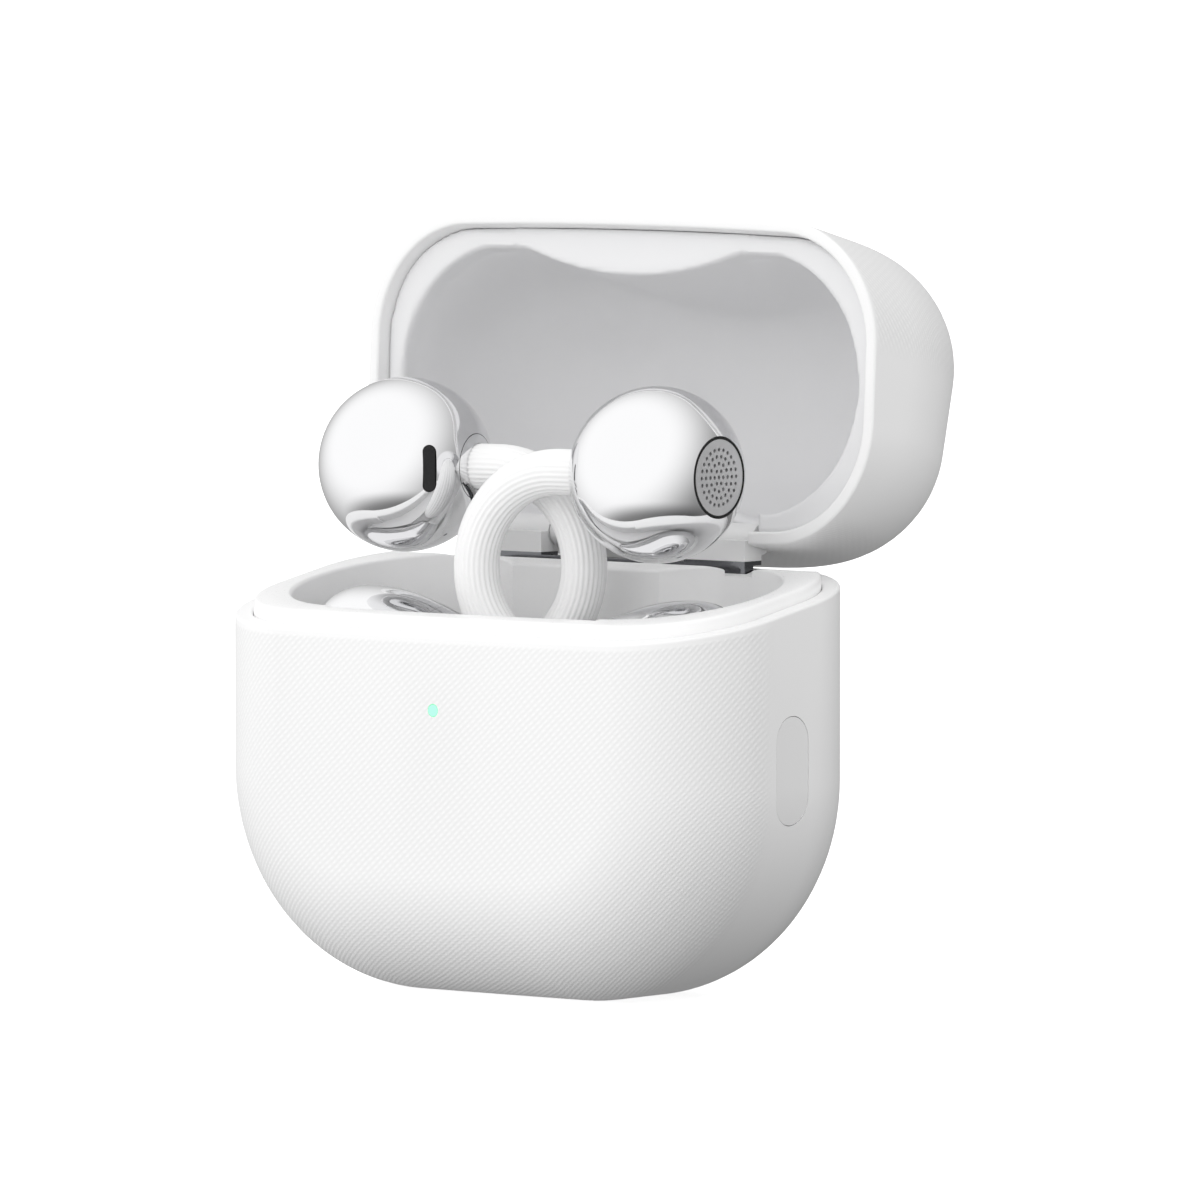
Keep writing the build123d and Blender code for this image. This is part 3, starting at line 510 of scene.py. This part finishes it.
AIM = Vector((6.35, 0.0, 30.47)) * MM
AZIMUTH, ELEVATION = math.radians(38.47), math.radians(3.63)
DISTANCE, LENS = 0.9994, 391.25  # metres and millimetres
back = Vector((
    math.sin(AZIMUTH) * math.cos(ELEVATION),
    -math.cos(AZIMUTH) * math.cos(ELEVATION),
    math.sin(ELEVATION),
))
camera_data = bpy.data.cameras.new("camera")
camera_data.sensor_width = 36.0
camera_data.lens = LENS
camera_data.clip_end = 100.0
camera = bpy.data.objects.new("camera", camera_data)
camera.location = AIM + back * DISTANCE
camera.rotation_mode = "QUATERNION"
camera.rotation_quaternion = (-back).to_track_quat("-Z", "Y")
bpy.context.scene.collection.objects.link(camera)
bpy.context.scene.camera = camera


def softbox(name, place, size, power, aim=(0.0, 0.0, 0.03)):
    """A rectangular area light turned towards the object."""
    data = bpy.data.lights.new(name, "AREA")
    data.shape = "RECTANGLE"
    data.size, data.size_y = size
    data.energy = power
    lamp = bpy.data.objects.new(name, data)
    lamp.location = place
    lamp.visible_glossy = False
    lamp.visible_camera = False
    lamp.rotation_mode = "QUATERNION"
    lamp.rotation_quaternion = (Vector(aim) - Vector(place)).to_track_quat("-Z", "Y")
    bpy.context.scene.collection.objects.link(lamp)
    return lamp


softbox("key_softbox", (-0.32, -0.72, 0.68), (0.6, 0.6), 0.52)
softbox("lid_side_softbox", (0.078, 0.05, 0.044), (0.05, 0.05), 0.0095, (0.022, 0.03, 0.048))

world = bpy.data.worlds.new("studio")
world.use_nodes = True
bpy.context.scene.world = world
sky_tree = world.node_tree
sky = sky_tree.nodes["Background"]
around = add(sky_tree, "TexCoord")
KEY_SIDE = Vector((-0.24, -0.78, 0.56)).normalized()
towards = add(sky_tree, "VectorMath", {"operation": "DOT_PRODUCT", 1: KEY_SIDE}, {0: (around, "Generated")})
fall = add(
    sky_tree, "MapRange",
    {
        "interpolation_type": "SMOOTHSTEP",
        "From Min": -0.80, "From Max": 0.60, "To Min": 0.24, "To Max": 1.19,
    },
    {"Value": (towards, "Value")},
)
height = add(sky_tree, "SeparateXYZ", None, {"Vector": (around, "Generated")})
below = add(
    sky_tree, "MapRange",
    {
        "interpolation_type": "SMOOTHSTEP",
        "From Min": -0.80, "From Max": -0.50, "To Min": 0.28, "To Max": 1.0,
    },
    {"Value": (height, "Z")},
)
shade = add(sky_tree, "Math", {"operation": "MULTIPLY"}, {0: (fall, "Result"), 1: (below, "Result")})
sky_tree.links.new(shade.outputs["Value"], sky.inputs["Strength"])
sky.inputs["Color"].default_value = srgb("FFFFFF")

bpy.context.scene.view_settings.view_transform = "Standard"
